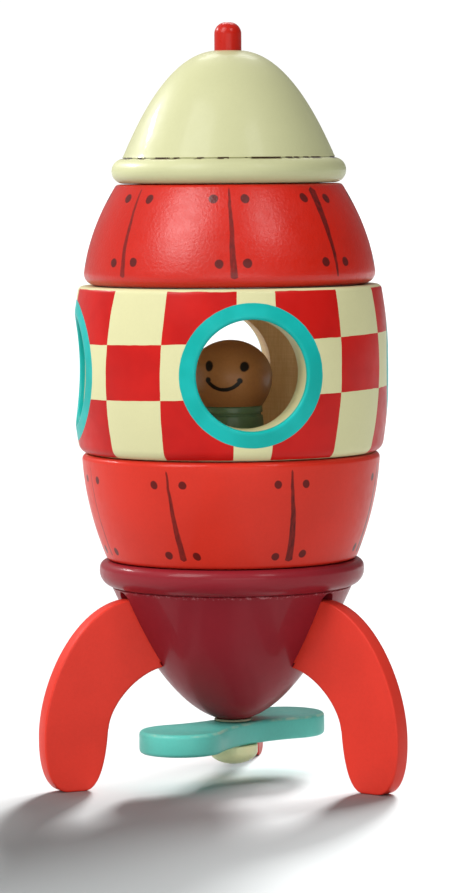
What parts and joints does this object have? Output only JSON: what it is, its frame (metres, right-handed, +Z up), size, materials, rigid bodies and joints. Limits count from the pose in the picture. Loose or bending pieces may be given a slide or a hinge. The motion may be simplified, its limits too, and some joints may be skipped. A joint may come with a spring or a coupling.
{
  "type": "stacking space rocket toy",
  "caption": "Stacking wooden space rocket: turned sections held by magnets, a window drum with portholes and a doll inside, curved board fins and a propeller that turns.",
  "frame": {"origin": "on the stack's centre line, at the level of the floor that the fins stand on", "axes": "+Z up along the centre line, towards the nose; -Y out of the front porthole"},
  "size_m": [0.1322, 0.1322, 0.2808],
  "materials": {
    "crimson_paint": "satin dark crimson paint on turned wood",
    "fin_paint": "satin orange-red paint on board",
    "lower_red_paint": "satin orange-red paint, dark painted seams and rivet dots",
    "upper_red_paint": "satin red paint, dark painted seams and rivet dots",
    "window_paint": "satin cream paint with red checks and turquoise porthole rings",
    "cream_paint": "satin cream paint",
    "tip_paint": "gloss red paint",
    "teal_paint": "satin turquoise paint",
    "axle_peg_paint": "satin cream paint",
    "doll_head_stain": "satin brown stain with painted eyes and smile",
    "doll_body_paint": "satin dark green paint",
    "bare_wood": "bare planed wood",
    "washer_plastic": "pale matte plastic",
    "steel": "zinc-plated steel",
    "magnet": "dark grey sintered magnet"
  },
  "bodies": {
    "tail": {"tail_cone": "crimson_paint", "tail_rim": "crimson_paint", "fin_left": "fin_paint", "fin_right": "fin_paint", "fin_rear": "fin_paint", "axle_peg": "axle_peg_paint", "propeller_washer": "washer_plastic"},
    "propeller": {"propeller": "teal_paint"},
    "tail_disc": {"tail_disc": "steel"},
    "lower_section": {"lower_hull": "lower_red_paint", "lower_magnet": "magnet"},
    "lower_keeper": {"lower_keeper_ring": "steel"},
    "astronaut_peg": {"astronaut_peg": "bare_wood"},
    "astronaut": {"astronaut_body": "doll_body_paint", "astronaut_head": "doll_head_stain"},
    "window_section": {"window_drum": "window_paint", "drum_lower_magnets": "magnet", "drum_upper_magnets": "magnet"},
    "upper_keeper": {"upper_keeper_ring": "steel"},
    "upper_section": {"upper_hull": "upper_red_paint"},
    "upper_disc": {"upper_disc": "steel"},
    "nose_section": {"nose_rim": "cream_paint", "nose_dome": "cream_paint", "nose_tip": "tip_paint", "nose_magnet": "magnet"}
  },
  "joints": [
    {"name": "propeller_spin", "type": "hinge", "parent": "tail", "child": "propeller", "pos_m": [0, 0, 0.019], "axis": [0, 0, 1], "continuous": true},
    {"name": "lower_turn", "type": "hinge", "parent": "tail", "child": "tail_disc", "pos_m": [0, 0, 0.0828], "axis": [0, 0, 1], "continuous": true},
    {"name": "lower_lift", "type": "slide", "parent": "tail_disc", "child": "lower_section", "axis": [0, 0, 1], "range_m": [0, 0.06]},
    {"name": "window_turn", "type": "hinge", "parent": "lower_section", "child": "lower_keeper", "pos_m": [0, 0, 0.1224], "axis": [0, 0, 1], "continuous": true},
    {"name": "window_lift", "type": "slide", "parent": "lower_keeper", "child": "window_section", "axis": [0, 0, 1], "range_m": [0, 0.06]},
    {"name": "upper_lift", "type": "slide", "parent": "window_section", "child": "upper_keeper", "axis": [0, 0, 1], "range_m": [0, 0.06]},
    {"name": "upper_turn", "type": "hinge", "parent": "upper_keeper", "child": "upper_section", "pos_m": [0, 0, 0.1844], "axis": [0, 0, 1], "continuous": true},
    {"name": "nose_turn", "type": "hinge", "parent": "upper_section", "child": "upper_disc", "pos_m": [0, 0, 0.2216], "axis": [0, 0, 1], "continuous": true},
    {"name": "nose_lift", "type": "slide", "parent": "upper_disc", "child": "nose_section", "axis": [0, 0, 1], "range_m": [0, 0.06]},
    {"name": "astronaut_turn", "type": "hinge", "parent": "lower_section", "child": "astronaut_peg", "pos_m": [0, 0, 0.1224], "axis": [0, 0, 1], "continuous": true},
    {"name": "astronaut_lift", "type": "slide", "parent": "astronaut_peg", "child": "astronaut", "axis": [0, 0, 1], "range_m": [0, 0.018]}
  ]
}
